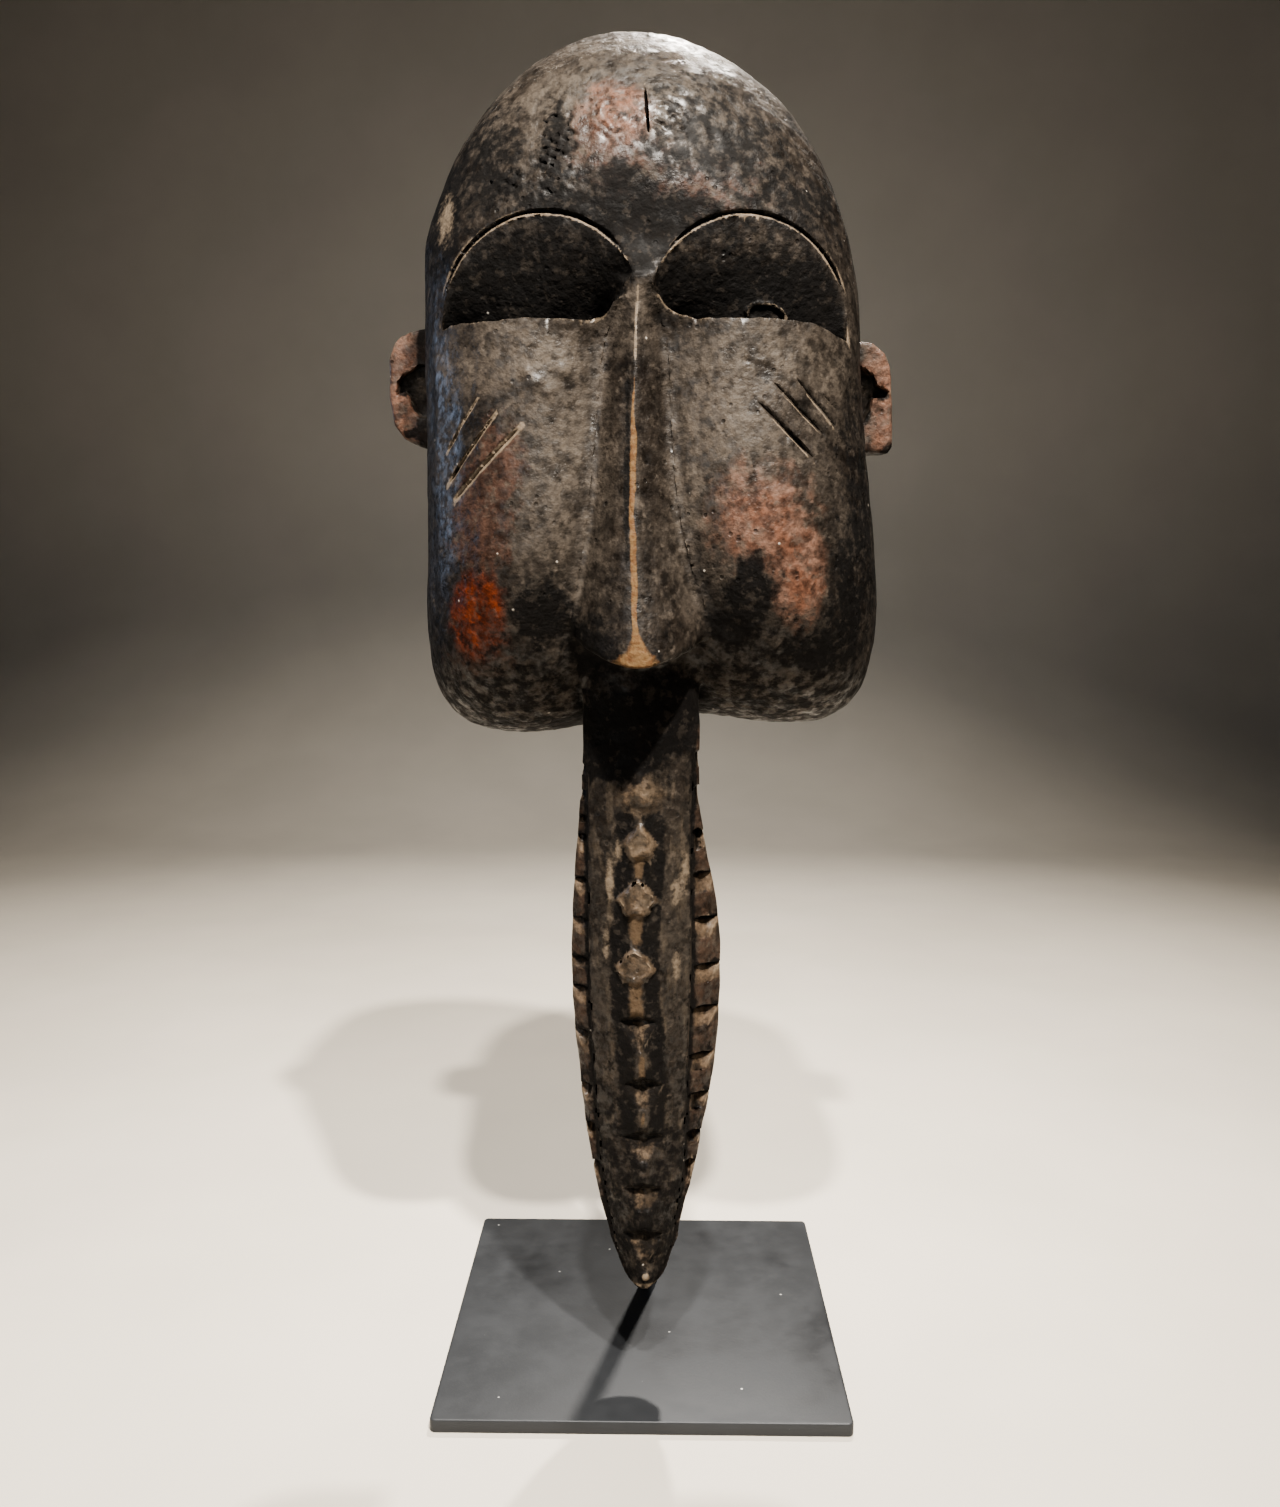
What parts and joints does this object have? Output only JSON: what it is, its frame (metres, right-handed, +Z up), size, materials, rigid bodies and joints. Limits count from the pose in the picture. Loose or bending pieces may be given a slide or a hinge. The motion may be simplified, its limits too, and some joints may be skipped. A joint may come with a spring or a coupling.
{
  "type": "carved wooden face mask on a stand",
  "caption": "Tall carved wooden face mask with a domed forehead, half-moon eyes, wedge nose and long chip-carved beard, held on a steel rod over a square plate.",
  "frame": {"origin": "centre of the underside of the square stand plate", "axes": "+Z up, the face looks along -Y, +X to the right of someone facing the mask"},
  "size_m": [0.2296, 0.1885, 0.5935],
  "materials": {
    "carved_wood": "dark worn patina, satin, with rubbed red earth and bare tan edges",
    "black_steel": "matte black, faintly smudged"
  },
  "bodies": {
    "root": {"mask": "carved_wood", "stand_rod": "black_steel", "stand_plate": "black_steel"}
  },
  "joints": []
}
